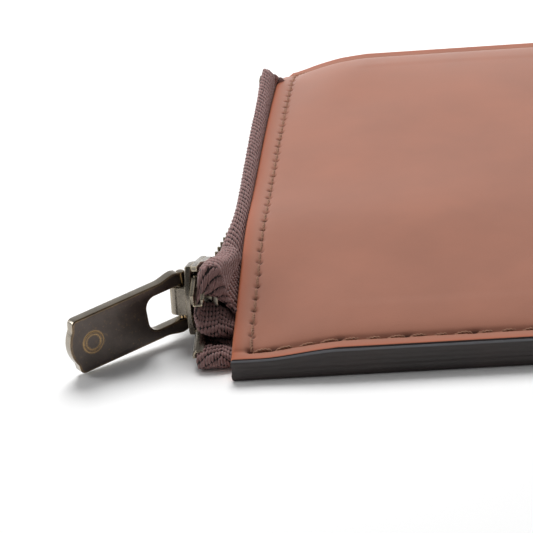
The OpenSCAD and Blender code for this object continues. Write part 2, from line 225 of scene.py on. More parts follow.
def plate(name, outlines, thickness, bevel, matrix, resolution):
    """A flat plate with rounded edges. The first outline, in millimetres, is its rim; the rest are holes."""
    curve = bpy.data.curves.new(name, "CURVE")
    curve.dimensions = "2D"
    curve.fill_mode = "BOTH"
    for outline in outlines:
        spline = curve.splines.new("POLY")
        spline.points.add(len(outline) - 1)
        for point, (x, y) in zip(spline.points, outline):
            point.co = (x * MM, y * MM, 0, 1)
        spline.use_cyclic_u = True
    curve.extrude = (thickness / 2 - bevel) * MM
    curve.bevel_depth = bevel * MM
    curve.bevel_resolution = resolution
    curve.offset = -bevel * MM
    holder = add_object(name + "_curve", curve)
    mesh = bpy.data.meshes.new_from_object(holder.evaluated_get(bpy.context.evaluated_depsgraph_get()))
    bpy.data.objects.remove(holder)
    bm = bmesh.new()
    bm.from_mesh(mesh)
    bmesh.ops.remove_doubles(bm, verts=bm.verts, dist=1e-7)
    bmesh.ops.recalc_face_normals(bm, faces=bm.faces)
    bm.transform(matrix)
    bm.to_mesh(mesh)
    bm.free()
    mesh.name = name
    return add_object(name, mesh)


def join(name, objects):
    """Joins mesh objects, which all sit at the origin, into a new one."""
    bm = bmesh.new()
    for part in objects:
        bm.from_mesh(part.data)
    mesh = bpy.data.meshes.new(name)
    bm.to_mesh(mesh)
    bm.free()
    for part in objects:
        bpy.data.objects.remove(part)
    return add_object(name, mesh)


def rotation(x=0, y=0, z=0):
    """Turns about X, then Y, then Z, in degrees."""
    turns = [Matrix.Rotation(math.radians(a), 4, axis) for a, axis in ((x, "X"), (y, "Y"), (z, "Z"))]
    return turns[2] @ turns[1] @ turns[0]


def shift(x, y, z):
    return Matrix.Translation(Vector((x, y, z)) * MM)


# -------- material helpers
class Nodes:
    """Short calls to build a material's node tree."""

    def __init__(self, name):
        self.mat = bpy.data.materials.new(name)
        self.mat.use_nodes = True
        self.tree = self.mat.node_tree
        self.shader = self.tree.nodes["Principled BSDF"]
        self.coords = self.add("ShaderNodeTexCoord").outputs["Object"]

    def add(self, kind, **values):
        node = self.tree.nodes.new(kind)
        for key, value in values.items():
            if hasattr(node, key):
                setattr(node, key, value)
            else:
                node.inputs[key.replace("_", " ")].default_value = value
        return node

    def link(self, a, b):
        self.tree.links.new(a, b)

    def feed(self, socket, value):
        """Links a node's output to an input socket, or sets a number or a colour on it."""
        if hasattr(value, "is_output"):
            self.link(value, socket)
        elif socket.type == "RGBA":
            socket.default_value = colour(value)
        else:
            socket.default_value = value

    def noise(self, scale, detail, rough=0.5, distortion=0.0, stretch=None):
        node = self.add("ShaderNodeTexNoise", Scale=scale, Detail=detail, Roughness=rough)
        node.inputs["Distortion"].default_value = distortion
        vector = self.coords
        if stretch:
            mapping = self.add("ShaderNodeMapping", Scale=stretch)
            self.link(vector, mapping.inputs["Vector"])
            vector = mapping.outputs["Vector"]
        self.link(vector, node.inputs["Vector"])
        return node.outputs["Fac"]

    def voronoi(self, scale):
        node = self.add("ShaderNodeTexVoronoi", Scale=scale)
        self.link(self.coords, node.inputs["Vector"])
        return node.outputs["Distance"]

    def ramp(self, value, stops):
        node = self.add("ShaderNodeValToRGB")
        ramp = node.color_ramp.elements
        while len(ramp) > 1:
            ramp.remove(ramp[-1])
        ramp[0].position = stops[0][0]
        ramp[0].color = colour(stops[0][1])
        for position, level in stops[1:]:
            ramp.new(position).color = colour(level)
        self.link(value, node.inputs["Fac"])
        return node.outputs["Color"]

    def mix(self, factor, a, b):
        node = self.add("ShaderNodeMix", data_type="RGBA")
        for place, value in ((0, factor), (6, a), (7, b)):
            self.feed(node.inputs[place], value)
        return node.outputs[2]

    def math(self, operation, a, b):
        node = self.add("ShaderNodeMath", operation=operation)
        self.feed(node.inputs[0], a)
        self.feed(node.inputs[1], b)
        return node.outputs[0]

    def plus(self, a, b):
        return self.math("ADD", a, b)

    def times(self, a, b):
        return self.math("MULTIPLY", a, b)

    def attribute(self, name):
        return self.add("ShaderNodeAttribute", attribute_name=name).outputs["Fac"]

    def bump(self, height, strength, distance):
        node = self.add("ShaderNodeBump", Strength=strength, Distance=distance)
        self.link(height, node.inputs["Height"])
        return node.outputs["Normal"]

    def set(self, **sockets):
        """Sets or links the shader's sockets; underscores stand for spaces."""
        for key, value in sockets.items():
            self.feed(self.shader.inputs[key.replace("_", " ")], value)
        return self.mat


def linear(c):
    """A linear level from an 8-bit sRGB number."""
    c = c / 255
    return c / 12.92 if c <= 0.04045 else ((c + 0.055) / 1.055) ** 2.4


def colour(value):
    """A linear RGBA from a grey level or from 8-bit sRGB numbers."""
    if isinstance(value, (int, float)):
        return (value, value, value, 1)
    return (*[linear(c) for c in value], 1)


def tint(base, k):
    return tuple(c * k for c in base)


# -------- materials
PORE_DEPTH = 0.04 * MM
PAINT_DEPTH = 0.12 * MM
FIBRE_DEPTH = 0.08 * MM
YARN_DEPTH = 0.05 * MM
PIT_DEPTH = 0.04 * MM
WORN_RADIUS = 0.42 * MM


def leather_material(name, base):
    """Smooth finished leather: fine pores, soft mottling, warm lip by the cut edge, painted shade in the
    needle holes and stitch grooves.
    """
    n = Nodes(name)
    mottle = n.noise(90, 4, 0.55)
    broad = n.noise(22, 2)
    pores = n.voronoi(3200)
    grain = n.noise(2600, 4, 0.6)
    warm = tuple(c * k for c, k in zip(base, (1.05, 0.86, 0.72)))
    tone = n.mix(n.ramp(mottle, [(0.3, 0.0), (0.7, 1.0)]), tint(base, 0.965), tint(base, 1.03))
    tone = n.mix(n.times(broad, 0.14), tone, tint(base, 0.9))
    tone = n.mix(n.ramp(pores, [(0.0, 0.22), (0.28, 0.0)]), tone, tint(base, 0.72))
    tone = n.mix(n.attribute("lip"), tone, warm)
    # painted shade: near-black brown in the needle holes and along the stitch grooves
    tone = n.mix(n.attribute("hole"), tone, (34, 17, 13))
    pits = n.times(n.ramp(pores, [(0.0, 0.0), (0.35, 1.0)]), 0.6)
    normal = n.bump(n.plus(pits, n.times(grain, 0.5)), 0.32, PORE_DEPTH)
    rough = n.plus(n.times(mottle, 0.10), 0.34)
    return n.set(Base_Color=tone, Roughness=rough, Normal=normal, Specular_IOR_Level=0.27,
                 Coat_Weight=0.04, Coat_Roughness=0.34, Sheen_Weight=0.03, Sheen_Roughness=0.5)


def paint_material():
    """Dark edge paint: several coats, slightly uneven, with a painted highlight (pale grey) along its top
    rim.
    """
    n = Nodes("edge_paint")
    streak = n.noise(700, 4, 0.6, stretch=(0.25, 0.25, 2.5))
    blotch = n.noise(160, 3)
    tone = n.mix(streak, (24, 18, 17), (54, 44, 42))
    tone = n.mix(n.ramp(blotch, [(0.42, 0.0), (0.72, 0.5)]), tone, (62, 50, 47))
    # painted highlight: a pale grey line on the coat's top rim, where the rounded paint catches the light
    tone = n.mix(n.attribute("rim"), tone, (112, 112, 116))
    normal = n.bump(n.plus(streak, n.times(blotch, 1.5)), 0.55, PAINT_DEPTH)
    rough = n.plus(n.times(blotch, 0.25), 0.32)
    return n.set(Base_Color=tone, Roughness=rough, Normal=normal, Specular_IOR_Level=0.5)


def raw_edge_material():
    """Cut leather edge left the colour of its core."""
    n = Nodes("raw_edge")
    fibre = n.noise(1800, 5, 0.65, stretch=(1, 1, 3))
    tone = n.mix(fibre, (128, 66, 40), (190, 116, 80))
    return n.set(Base_Color=tone, Roughness=0.75, Normal=n.bump(fibre, 0.6, FIBRE_DEPTH))


def cloth_material(name, dark, light, scale=1500):
    """Spun yarn: fibre streaks and a soft sheen; the weave itself is in the mesh."""
    n = Nodes(name)
    fibre = n.noise(scale * 2.2, 4, 0.65, 0.4, stretch=(1.6, 0.5, 1.0))
    blotch = n.noise(260, 3)
    tone = n.mix(fibre, dark, light)
    tone = n.mix(n.times(blotch, 0.35), tone, tint(dark, 0.8))
    # painted shade: the core sheet seen between the yarns is made near black
    tone = n.mix(n.attribute("core_shade"), tone, tint(dark, 0.30))
    normal = n.bump(fibre, 0.5, YARN_DEPTH)
    return n.set(Base_Color=tone, Roughness=0.62, Normal=normal, Specular_IOR_Level=0.35,
                 Sheen_Weight=0.25, Sheen_Roughness=0.4)


def brass_material(name, face, worn, wear, rough):
    """Antique brass: dark patina on the faces, worn golden where the edges catch, fine pitting."""
    n = Nodes(name)
    bevel = n.add("ShaderNodeBevel", samples=6, Radius=WORN_RADIUS)
    geometry = n.add("ShaderNodeNewGeometry")
    dot = n.add("ShaderNodeVectorMath", operation="DOT_PRODUCT")
    n.link(bevel.outputs["Normal"], dot.inputs[0])
    n.link(geometry.outputs["True Normal"], dot.inputs[1])
    patches = n.noise(420, 5, 0.62)
    specks = n.noise(2600, 3, 0.6)
    edge = n.times(n.math("SUBTRACT", 1.0, dot.outputs["Value"]), n.plus(n.times(patches, 2.4), 0.2))
    mask = n.ramp(edge, [(0.02, 0.0), (0.14, 1.0)])
    tone = n.mix(n.ramp(patches, [(0.35, 0.0), (0.75, 1.0)]), face, tint(face, 1.14))
    tone = n.mix(n.ramp(specks, [(0.60, 0.0), (0.82, 0.35)]), tone, worn)
    tone = n.mix(n.times(mask, wear), tone, worn)
    pits = n.plus(n.times(patches, 0.6), n.times(specks, 0.5))
    return n.set(Base_Color=tone, Metallic=1.0, Roughness=n.plus(n.times(specks, 0.2), rough - 0.08),
                 Normal=n.bump(pits, 0.22, PIT_DEPTH))


LEATHER = leather_material("tan_leather", (159, 107, 88))
BACK_LEATHER = leather_material("tan_leather_back", (148, 96, 77))
PAINT = paint_material()
RAW = raw_edge_material()
LINING = cloth_material("lining_cloth", (22, 18, 18), (44, 38, 37))
TAPE = cloth_material("zip_tape_yarn", (106, 75, 75), (186, 148, 143))
THREAD = cloth_material("seam_thread", (128, 84, 64), (196, 150, 124), 2600)
PULL_BRASS = brass_material("pull_brass", (84, 77, 73), (196, 160, 108), 0.95, 0.34)
SLIDER_BRASS = brass_material("slider_brass", (126, 119, 109), (214, 199, 170), 0.8, 0.26)
TOOTH_BRASS = brass_material("tooth_brass", (112, 104, 92), (196, 178, 146), 0.8, 0.3)
PULL_SIDES = brass_material("pull_sides", (150, 143, 132), (214, 192, 156), 0.8, 0.2)
PAWL_STEEL = brass_material("pawl_steel", (150, 146, 138), (205, 198, 182), 0.5, 0.3)


# -------- stitch lines
ZIP_RUN = BODY_L - 2 * INSET
SIDE_RUN = BODY_W - 2 * INSET
ZIP_COUNT = int(ZIP_RUN / PITCH)
SIDE_COUNT = int(SIDE_RUN / PITCH)
ZIP_STEP = ZIP_RUN / ZIP_COUNT
SIDE_STEP = SIDE_RUN / SIDE_COUNT


def stitch_marks(x, y):
    """How far the sewn lines press into the leather at a point, and how much painted shade darkens their
    needle holes and grooves: (depth in mm, darkness).
    """
    depth = np.zeros_like(x)
    dark = np.zeros_like(x)
    seam_x = HALF_W - INSET
    seam_y = HALF_L - INSET
    lines = [(x, y, -seam_x, ZIP_STEP, seam_y, 1), (x, y, seam_x, ZIP_STEP, seam_y, -1),
             (y, x, -seam_y, SIDE_STEP, seam_x, 1), (y, x, seam_y, SIDE_STEP, seam_x, -1)]
    for across_line, along_line, place, step, end, side in lines:
        off = across_line - place
        k = np.clip(np.round((along_line + end) / step), 0, round(2 * end / step))
        run = along_line - (k * step - end)
        inside = (along_line > -end - 0.8) & (along_line < end + 0.8)
        slant_off = off * 0.88 - run * 0.47 * side
        slant_run = run * 0.88 + off * 0.47 * side
        hole = np.exp(-((slant_off / (0.5 if along_line is y else 0.3)) ** 4) - (slant_run / 0.20) ** 2)
        valley = np.exp(-((off / 0.36) ** 2)) * inside
        shoulder = np.exp(-((off / 1.3) ** 2)) * inside
        depth += 0.45 * hole * inside + 0.14 * valley + 0.07 * shoulder
        # painted shade in each needle hole
        dark = np.maximum(dark, np.clip(hole * 1.5 - 0.25, 0, 1) * inside)
        # faint painted shade along the stitch groove
        dark = np.maximum(dark, 0.12 * valley)
    return depth, dark


def rim_drop(d, r):
    """How far a rounded rim of radius r falls at distance d from the cut edge."""
    q = np.clip(r - d, 0, r)
    return r - np.sqrt(np.maximum(r * r - q * q, 0))


def edge_distance(x, y):
    """Distance to the nearest cut edge, before the corner is rounded off."""
    return np.minimum(np.minimum(x + HALF_W, HALF_W - x), np.minimum(y + HALF_L, HALF_L - y))


def front_skin(x, y):
    """Top surface of the front leather, with the marks of what lies under it."""
    s = y + HALF_L
    d = edge_distance(x, y)
    z = top_z(x, y)
    u = x + HALF_W
    welt = smooth(13.2, 14.8, u)
    z = z + 0.07 * welt * (1 - smooth(9.0, 11.5, s))
    z = z + 0.07 * welt * smooth(BODY_L - 11.5, BODY_L - 9.0, s)
    ripple = np.sin(x * 0.21 + 1.3) * np.sin(y * 0.13 + 0.4) + 0.6 * np.sin(x * 0.09 - y * 0.17)
    z = z + 0.05 * ripple * smooth(3, 16, d)
    z = z - 0.22 * np.exp(-((s - 5.2) / 3.2) ** 2) * (1 - smooth(3.0, 9.0, u)) * smooth(2.2, 4.0, u)
    press, _ = stitch_marks(x, y)
    return z - press - rim_drop(d, 0.38)


# -------- leather panels
def stations(low, high, fine, coarse):
    """Positions from low to high: close together by both edges, wider in between."""
    margin = 4.6
    rim = [0, 0.05, 0.12, 0.22, 0.36]
    near = list(np.arange(0.55, margin, fine))
    span = high - low
    middle = list(np.linspace(margin, span - margin, max(2, round((span - 2 * margin) / coarse))))
    far = [span - v for v in reversed(rim + near)]
    return np.array(rim + near + middle + far) + low


def sheet_faces(rows, cols):
    """Faces of a grid of points and of a second grid under it, and the grid's rim as a list of indices."""
    index = np.arange(rows * cols).reshape(rows, cols)
    a, b = index[:-1, :-1].ravel(), index[:-1, 1:].ravel()
    c, d = index[1:, 1:].ravel(), index[1:, :-1].ravel()
    faces = np.stack([a, b, c, d], -1).tolist() + (np.stack([a, d, c, b], -1) + rows * cols).tolist()
    rim = list(index[0, :]) + list(index[1:, -1]) + list(index[-1, -2::-1]) + list(index[-2:0:-1, 0])
    return faces, rim


WALL_LEVELS = 5
WALL_BULGE = 0.07


def panel_wall(top, bottom, rim):
    """Points and faces of the slightly bulging wall between a panel's two grids."""
    edge = top[rim]
    at_side = np.abs(np.abs(edge[:, 0]) - HALF_W) < 1e-6
    at_end = np.abs(np.abs(edge[:, 1]) - HALF_L) < 1e-6
    out = np.stack([np.sign(edge[:, 0]) * at_side, np.sign(edge[:, 1]) * at_end, np.zeros(len(rim))], -1)
    points = []
    rows = [rim]
    base = 2 * len(top)
    for k in range(1, WALL_LEVELS):
        t = k / WALL_LEVELS
        bulge = WALL_BULGE * math.sin(math.pi * t) ** 0.5
        points.append(edge * (1 - t) + bottom[rim] * t + out * bulge)
        rows.append(range(base, base + len(rim)))
        base += len(rim)
    rows.append([i + len(top) for i in rim])
    faces = []
    for upper, lower in zip(rows, rows[1:]):
        for k in range(len(rim)):
            j = (k + 1) % len(rim)
            faces.append([upper[j], upper[k], lower[k], lower[j]])
    return points, faces


PAINT_WIDE = 0.20
RAW_WIDE = 0.11
LIP_WIDE = 1.7


def dress_panel(obj, points):
    """Paint on the sewn edges, raw leather on the zip edge; painted shade in the needle holes and stitch
    grooves, and a warm tint on the lip.
    """
    mesh = obj.data
    centre = np.zeros(len(mesh.polygons) * 3)
    mesh.polygons.foreach_get("center", centre)
    centre = centre.reshape(-1, 3) / MM
    distance = edge_distance(centre[:, 0], centre[:, 1])
    zip_side = (centre[:, 0] + HALF_W) <= distance + 1e-6
    slot = np.where(distance < PAINT_WIDE, 1, 0)
    slot = np.where(zip_side, np.where(distance < RAW_WIDE, 2, 0), slot)
    mesh.polygons.foreach_set("material_index", slot.astype(np.int32))
    # the darkness is painted shade in the needle holes and stitch grooves, stored as hole
    _, dark = stitch_marks(points[:, 0], points[:, 1])
    point_values(obj, "hole", dark)
    point_values(obj, "lip", np.clip(1 - edge_distance(points[:, 0], points[:, 1]) / LIP_WIDE, 0, 1) * 0.85)


def panel(name, xs, ys, upper, lower, leather):
    """A leather panel as one closed mesh: fine top, walls with rounded coats of paint, plain underside."""
    gx, gy = np.meshgrid(xs, ys)
    top = np.stack([gx, gy, upper(gx, gy)], -1).reshape(-1, 3)
    bottom = np.stack([gx, gy, lower(gx, gy)], -1).reshape(-1, 3)
    faces, rim = sheet_faces(len(ys), len(xs))
    wall_points, wall_faces = panel_wall(top, bottom, rim)
    points = np.concatenate([top, bottom] + wall_points)
    obj = mesh_object(name, points, faces + wall_faces)
    dress_panel(obj, points)
    obj.data.vertices.foreach_set("co", (round_corner(points) * MM).astype(np.float32).ravel())
    obj.data.update()
    finish_piece(shade(obj, 50), "pouch", [leather, PAINT, RAW], [name.replace("leather", "panel")])


def front_underside(x, y):
    return top_z(x, y) - LEATHER_T + rim_drop(edge_distance(x, y), 0.15)


def back_inside(x, y):
    return LEATHER_T - rim_drop(edge_distance(x, y), 0.15)


def back_skin(x, y):
    """Outer surface of the back leather, which the stitches press like the front."""
    press, _ = stitch_marks(x, y)
    return 0.02 + np.minimum(press, 0.6) + rim_drop(edge_distance(x, y), 0.25)


def make_panels():
    xs = stations(-HALF_W, HALF_W, 0.24, 0.9)
    ys = stations(-HALF_L, HALF_L, 0.24, 0.42)
    panel("front_leather", xs, ys, front_skin, front_underside, LEATHER)
    xs = stations(-HALF_W, HALF_W, 0.35, 2.0)
    ys = stations(-HALF_L, HALF_L, 0.35, 1.0)
    panel("back_leather", xs, ys, back_inside, back_skin, BACK_LEATHER)


COAT_LEVELS = 22
COAT_IN = 0.16


def coat_route():
    """Places round the three sewn sides, each with its outward direction: (x, y, outward x, outward y)."""
    side = np.arange(-HALF_W + 0.02, HALF_W, 0.6)
    length = np.arange(-HALF_L, HALF_L, 0.6)
    return ([(x, -HALF_L, 0, -1) for x in side] + [(HALF_W, -HALF_L, 0.7, -0.7)]
            + [(HALF_W, y, 1, 0) for y in length] + [(HALF_W, HALF_L, 0.7, 0.7)]
            + [(x, HALF_L, 0, 1) for x in side[::-1]])


def coat_column(i, x, y, nx, ny):
    """Outer and inner points of the coat at one place, with a groove at each joint between layers."""
    top = float(top_z(np.array([x]), np.array([y]))[0]) - COAT_IN
    wave = 0.03 * math.sin(i * 0.37) + 0.02 * math.sin(i * 0.11 + 1)
    joints = [LEATHER_T + 0.1 + wave, top + COAT_IN - LEATHER_T - 0.1 + wave]
    if x > -HALF_W + 14:
        joints.append((joints[0] + joints[1]) / 2 - wave)
    outer, inner = [], []
    for k in range(COAT_LEVELS):
        t = k / (COAT_LEVELS - 1)
        z = COAT_IN + (top - COAT_IN) * t
        rounding = max(0.0, 1 - (2 * abs(t - 0.5)) ** 8)
        groove = sum(math.exp(-((z - j) / 0.16) ** 2) for j in joints)
        out = 0.03 + 0.12 * rounding - 0.075 * groove
        outer.append((x + nx * out, y + ny * out, z))
        inner.append((x - nx * 0.1, y - ny * 0.1, z))
    return outer + inner


def make_edge_coat():
    """The painted edge of the sewn seam: one coat over the whole stack, faintly ridged by its layers."""
    run = coat_route()
    points, faces = [], []
    for i, (x, y, nx, ny) in enumerate(run):
        points += coat_column(i, x, y, nx, ny)
    levels = COAT_LEVELS
    per = 2 * levels
    for i in range(len(run) - 1):
        for k in range(levels - 1):
            a = i * per + k
            faces.append([a, a + per, a + per + 1, a + 1])
            b = a + levels
            faces.append([b, b + 1, b + per + 1, b + per])
        for k in (0, levels - 1):
            a = i * per + k
            quad = [a, a + levels, a + levels + per, a + per]
            faces.append(quad if k == 0 else quad[::-1])
    for i, flip in ((0, False), (len(run) - 1, True)):
        for k in range(levels - 1):
            a = i * per + k
            quad = [a, a + 1, a + 1 + levels, a + levels]
            faces.append(quad[::-1] if flip else quad)
    coat = shade(mesh_object("painted_edge", round_corner(points), faces), 60)
    # the top two levels of the coat's outer face carry the painted highlight, stored as rim
    rim_highlight = [i % per in (levels - 2, levels - 1) for i in range(len(points))]
    point_values(coat, "rim", rim_highlight)
    finish_piece(coat, "pouch", [PAINT])


# -------- stitches
PLY_RADIUS = 0.125
PLY_SIDES = 6
PLY_OUT = 0.10
TWIST = 1.15


def tube(path):
    """Points and faces of one ply of thread along a path of 3-D points, with closed ends."""
    path = np.asarray(path, float)
    points, faces = [], []
    tangents = np.gradient(path, axis=0)
    up = np.array([0.0, 0.0, 1.0])
    for p, t in zip(path, tangents):
        t = t / np.linalg.norm(t)
        side = np.cross(t, up)
        side = side / max(np.linalg.norm(side), 1e-9)
        lift = np.cross(side, t)
        for k in range(PLY_SIDES):
            a = 2 * math.pi * k / PLY_SIDES
            points.append(p + PLY_RADIUS * (math.cos(a) * side + math.sin(a) * lift))
    for start in range(0, (len(path) - 1) * PLY_SIDES, PLY_SIDES):
        for k in range(PLY_SIDES):
            a, b = start + k, start + (k + 1) % PLY_SIDES
            faces.append([a, b, b + PLY_SIDES, a + PLY_SIDES])
    faces.append(list(range(PLY_SIDES))[::-1])
    faces.append(list(range(len(points) - PLY_SIDES, len(points))))
    return points, faces


def stitched_row(name, spots, height, up, nodes, rings=15):
    """A row of stitches: each is a twisted thread that rises from one needle hole and dives into the next."""
    points, faces = [], []
    rng = random.Random(len(spots) * 7 + len(name))
    for a, b in spots:
        a, b = np.array(a, float), np.array(b, float)
        run = b - a
        length = np.linalg.norm(run)
        run = run / length
        side = np.array([-run[1], run[0]])
        wobble = rng.uniform(-0.05, 0.05)
        turn = rng.uniform(0, math.pi)
        for ply in range(2):
            path = []
            for i in range(rings):
                t = i / (rings - 1)
                arch = math.sin(math.pi * min(1, max(0, (t * 1.04 - 0.02)))) ** 0.55
                slant = (t - 0.5) * 0.22 + wobble * math.sin(math.pi * t)
                x, y = a + run * length * (0.07 + 0.86 * t) + side * slant
                phase = turn + t * length / TWIST * 2 * math.pi + math.pi * ply
                lateral = PLY_OUT * math.cos(phase)
                lift = PLY_OUT * math.sin(phase)
                z = height(x, y) + up * (-0.30 + 0.36 * arch + lift)
                path.append([x + side[0] * lateral, y + side[1] * lateral, z])
            ply_points, ply_faces = tube(path)
            base = len(points)
            points += ply_points
            faces += [[base + i for i in face] for face in ply_faces]
    finish_piece(shade(mesh_object(name, points, faces), 60), "pouch", [THREAD], nodes)


def front_ground(x, y):
    """Height of the front leather under a stitch."""
    x, y = np.array([x]), np.array([y])
    return float(top_z(x, y)[0] - 0.23 - rim_drop(edge_distance(x, y), 0.38)[0])


def back_ground(x, y):
    return 0.62


def make_stitches():
    seam_x = HALF_W - INSET
    seam_y = HALF_L - INSET
    zip_ys = [-seam_y + ZIP_STEP * i for i in range(ZIP_COUNT + 1)]
    side_xs = [-seam_x + SIDE_STEP * i for i in range(SIDE_COUNT + 1)]

    def up_line(x):
        return [((x, a), (x, b)) for a, b in zip(zip_ys, zip_ys[1:])]

    def cross_line(y):
        return [((a, y), (b, y)) for a, b in zip(side_xs, side_xs[1:])]

    stitched_row("front_zip_seam", up_line(-seam_x), front_ground, 1, ["front_zip_stitches"])
    stitched_row("near_seam", cross_line(-seam_y), front_ground, 1, ["near_stitches"])
    stitched_row("far_seam", cross_line(seam_y), front_ground, 1, ["far_stitches"])
    stitched_row("side_seam", up_line(seam_x), front_ground, 1, ["side_stitches"])
    stitched_row("back_zip_seam", up_line(-seam_x), back_ground, -1, ["back_zip_stitches"], 9)
    around = up_line(seam_x) + cross_line(-seam_y) + cross_line(seam_y)
    stitched_row("back_seams", around, back_ground, -1, ["back_seam_stitches"], 9)


# -------- zip tapes
def tape_line(upper, s):
    """Middle line of a tape across its width, from its hidden edge to its toothed edge."""
    xc, zb = chain_out(s), bead_z(upper, s)
    sgn = 1 if upper else -1
    wrap = float(smooth(MOUTH_S - 3.5, MOUTH_S - 0.5, s) * (1 - smooth(LEAVE_S - 0.6, LEAVE_S + 4, s)))
    y = s - HALF_L
    if upper:
        below_top = LEATHER_T + TAPE_T / 2 + 0.12
        under = float(top_z(-HALF_W, y)) - below_top
        inner = float(top_z(-HALF_W + TAPE_IN, y)) - below_top
    else:
        under = inner = LEATHER_T + TAPE_T / 2 + GAP
    sink = float(smooth(SINK_S, TAPE_END, s))
    free = zb + sgn * (1.6 - 1.1 * sink)
    slot = mid_z(max(0, s - MOUTH_S)) + sgn * (look(SLIDER_HALF, s - MOUTH_S - sgn * 0.6) + 0.3)
    lowest = TAPE_T / 2 + 0.05
    leg = max(free + (slot - free) * wrap, lowest)
    crest_z = max(leg + (0.45 * (1 - wrap) * (1 - sink) if upper else -0.3 * (1 - wrap)), lowest)
    closed = float(smooth(LEAVE_S + 3, SETTLE_S, s))
    crest_x = xc + 0.75 - 1.3 * closed + 1.95 * wrap
    fall_x = max(min(xc + 1.9, -HALF_W - 0.75 + 0.45 * closed), crest_x + 0.15)
    fall_z = crest_z + (under - crest_z) * (0.25 if wrap > 0.5 else 0.35 - 0.17 * closed)
    return [(-HALF_W + TAPE_IN, inner), (-HALF_W + TAPE_IN / 2, (under + inner) / 2), (-HALF_W, under),
            (-HALF_W - 0.4, under + 0.1 * (fall_z - under)), (fall_x, fall_z), (crest_x, crest_z),
            (xc, leg), (xc, zb - sgn * 0.45)]


def even_line(points, count):
    """A line with its corners rounded off, as count points evenly spaced along it."""
    p = np.asarray(points, float)
    for _ in range(2):
        a, b = p[:-1], p[1:]
        cut = np.stack([0.75 * a + 0.25 * b, 0.25 * a + 0.75 * b], 1).reshape(-1, p.shape[1])
        p = np.vstack([p[:1], cut, p[-1:]])
    steps = np.concatenate([[0], np.cumsum(np.linalg.norm(np.diff(p, axis=0), axis=1))])
    at = np.linspace(0, steps[-1], count)
    return np.stack([np.interp(at, steps, p[:, k]) for k in range(p.shape[1])], -1)


def grid_normals(grid):
    normal = np.cross(np.gradient(grid, axis=1), np.gradient(grid, axis=0))
    return normal / np.maximum(np.linalg.norm(normal, axis=2, keepdims=True), 1e-9)


def cloth_sheet(grid, thick):
    """Points and faces of a plain closed sheet around a grid of middle points."""
    faces, rim = sheet_faces(*grid.shape[:2])
    n = grid.shape[0] * grid.shape[1]
    for a, b in zip(rim, rim[1:] + rim[:1]):
        faces.append([b, a, a + n, b + n])
    half = grid_normals(grid) * thick / 2
    return np.concatenate([(grid + half).reshape(-1, 3), (grid - half).reshape(-1, 3)]), faces


YARN_RINGS = 6
YARN_SIDES = 5


def yarn_faces(count, flip):
    """Faces of count yarns, each a closed tube of YARN_RINGS rings with YARN_SIDES points."""
    per = YARN_RINGS * YARN_SIDES
    tube_faces = []
    for base in range(0, per - YARN_SIDES, YARN_SIDES):
        for k in range(YARN_SIDES):
            a, b = base + k, base + (k + 1) % YARN_SIDES
            tube_faces.append([a, b, b + YARN_SIDES, a + YARN_SIDES])
    ends = [list(range(YARN_SIDES))[::-1], list(range(per - YARN_SIDES, per))]
    one = [face[::-1] if flip else face for face in tube_faces + ends]
    return [[p + i * per for p in face] for i in range(count) for face in one]


def yarns(grid, side, thick, course, wale, lean, rng, plump, skip, turn):
    """Short floats of yarn laid over one face of a grid in a herringbone: points and faces."""
    normal = grid_normals(grid) * side
    rows, cols = grid.shape[:2]
    u_steps = np.linalg.norm(np.diff(grid, axis=1), axis=2).mean(0)
    v_steps = np.linalg.norm(np.diff(grid, axis=0), axis=2).mean(1)
    u_at = np.concatenate([[0], np.cumsum(u_steps)])
    v_at = np.concatenate([[0], np.cumsum(v_steps)])
    wales = max(2, round(u_at[-1] / wale))
    wide = u_at[-1] / wales
    courses = max(1, round(v_at[-1] / course))
    tall = v_at[-1] / courses
    k, j = np.meshgrid(np.arange(int(skip / wale), wales), np.arange(-1, courses + 1))
    k, j = k.ravel(), j.ravel()
    way = np.where(k < turn * wales, -1.0, 1.0)
    jitter = np.array([[rng.uniform(-1, 1) for _ in range(4)] for _ in range(len(k))])
    uc = (k + 0.5) * wide + jitter[:, 0] * 0.04
    vc = (j + 0.5 + np.mod(way * k * 0.21, 1.0)) * tall + jitter[:, 1] * 0.05
    angle = (lean + jitter[:, 2] * 8) * np.pi / 180 * way
    length = tall * 1.16 * (1 + 0.04 * jitter[:, 3])
    t = np.linspace(-0.5, 0.5, YARN_RINGS)[None, :, None]
    phi = (np.arange(YARN_SIDES) * 2 * np.pi / YARN_SIDES)[None, None, :]
    swell = np.maximum(1 - (2 * t) ** 2 * 0.95, 0.0) ** 0.38
    lateral = wide * 0.53 * swell * np.cos(phi)
    rise = (0.17 * swell * np.sin(phi) + 0.15 * swell - 0.11) * plump
    du, dv = np.sin(angle)[:, None, None], np.cos(angle)[:, None, None]
    run = t * length[:, None, None]
    u = np.clip(uc[:, None, None] + run * du + lateral * dv, 0, u_at[-1])
    v = np.clip(vc[:, None, None] + run * dv - lateral * du, 0, v_at[-1])
    keep = (v.max(axis=(1, 2)) - v.min(axis=(1, 2))) > 0.3
    u, v = u[keep], v[keep]
    fu, fv = np.interp(u, u_at, np.arange(cols)), np.interp(v, v_at, np.arange(rows))
    iu, iv = np.minimum(fu.astype(int), cols - 2), np.minimum(fv.astype(int), rows - 2)
    au, av = (fu - iu)[..., None], (fv - iv)[..., None]

    def sample(field):
        return ((field[iv, iu] * (1 - au) + field[iv, iu + 1] * au) * (1 - av)
                + (field[iv + 1, iu] * (1 - au) + field[iv + 1, iu + 1] * au) * av)

    points = sample(grid) + sample(normal) * (thick / 2 + rise)[..., None]
    return points.reshape(-1, 3), yarn_faces(len(u), side < 0)


CORE_T = 0.26


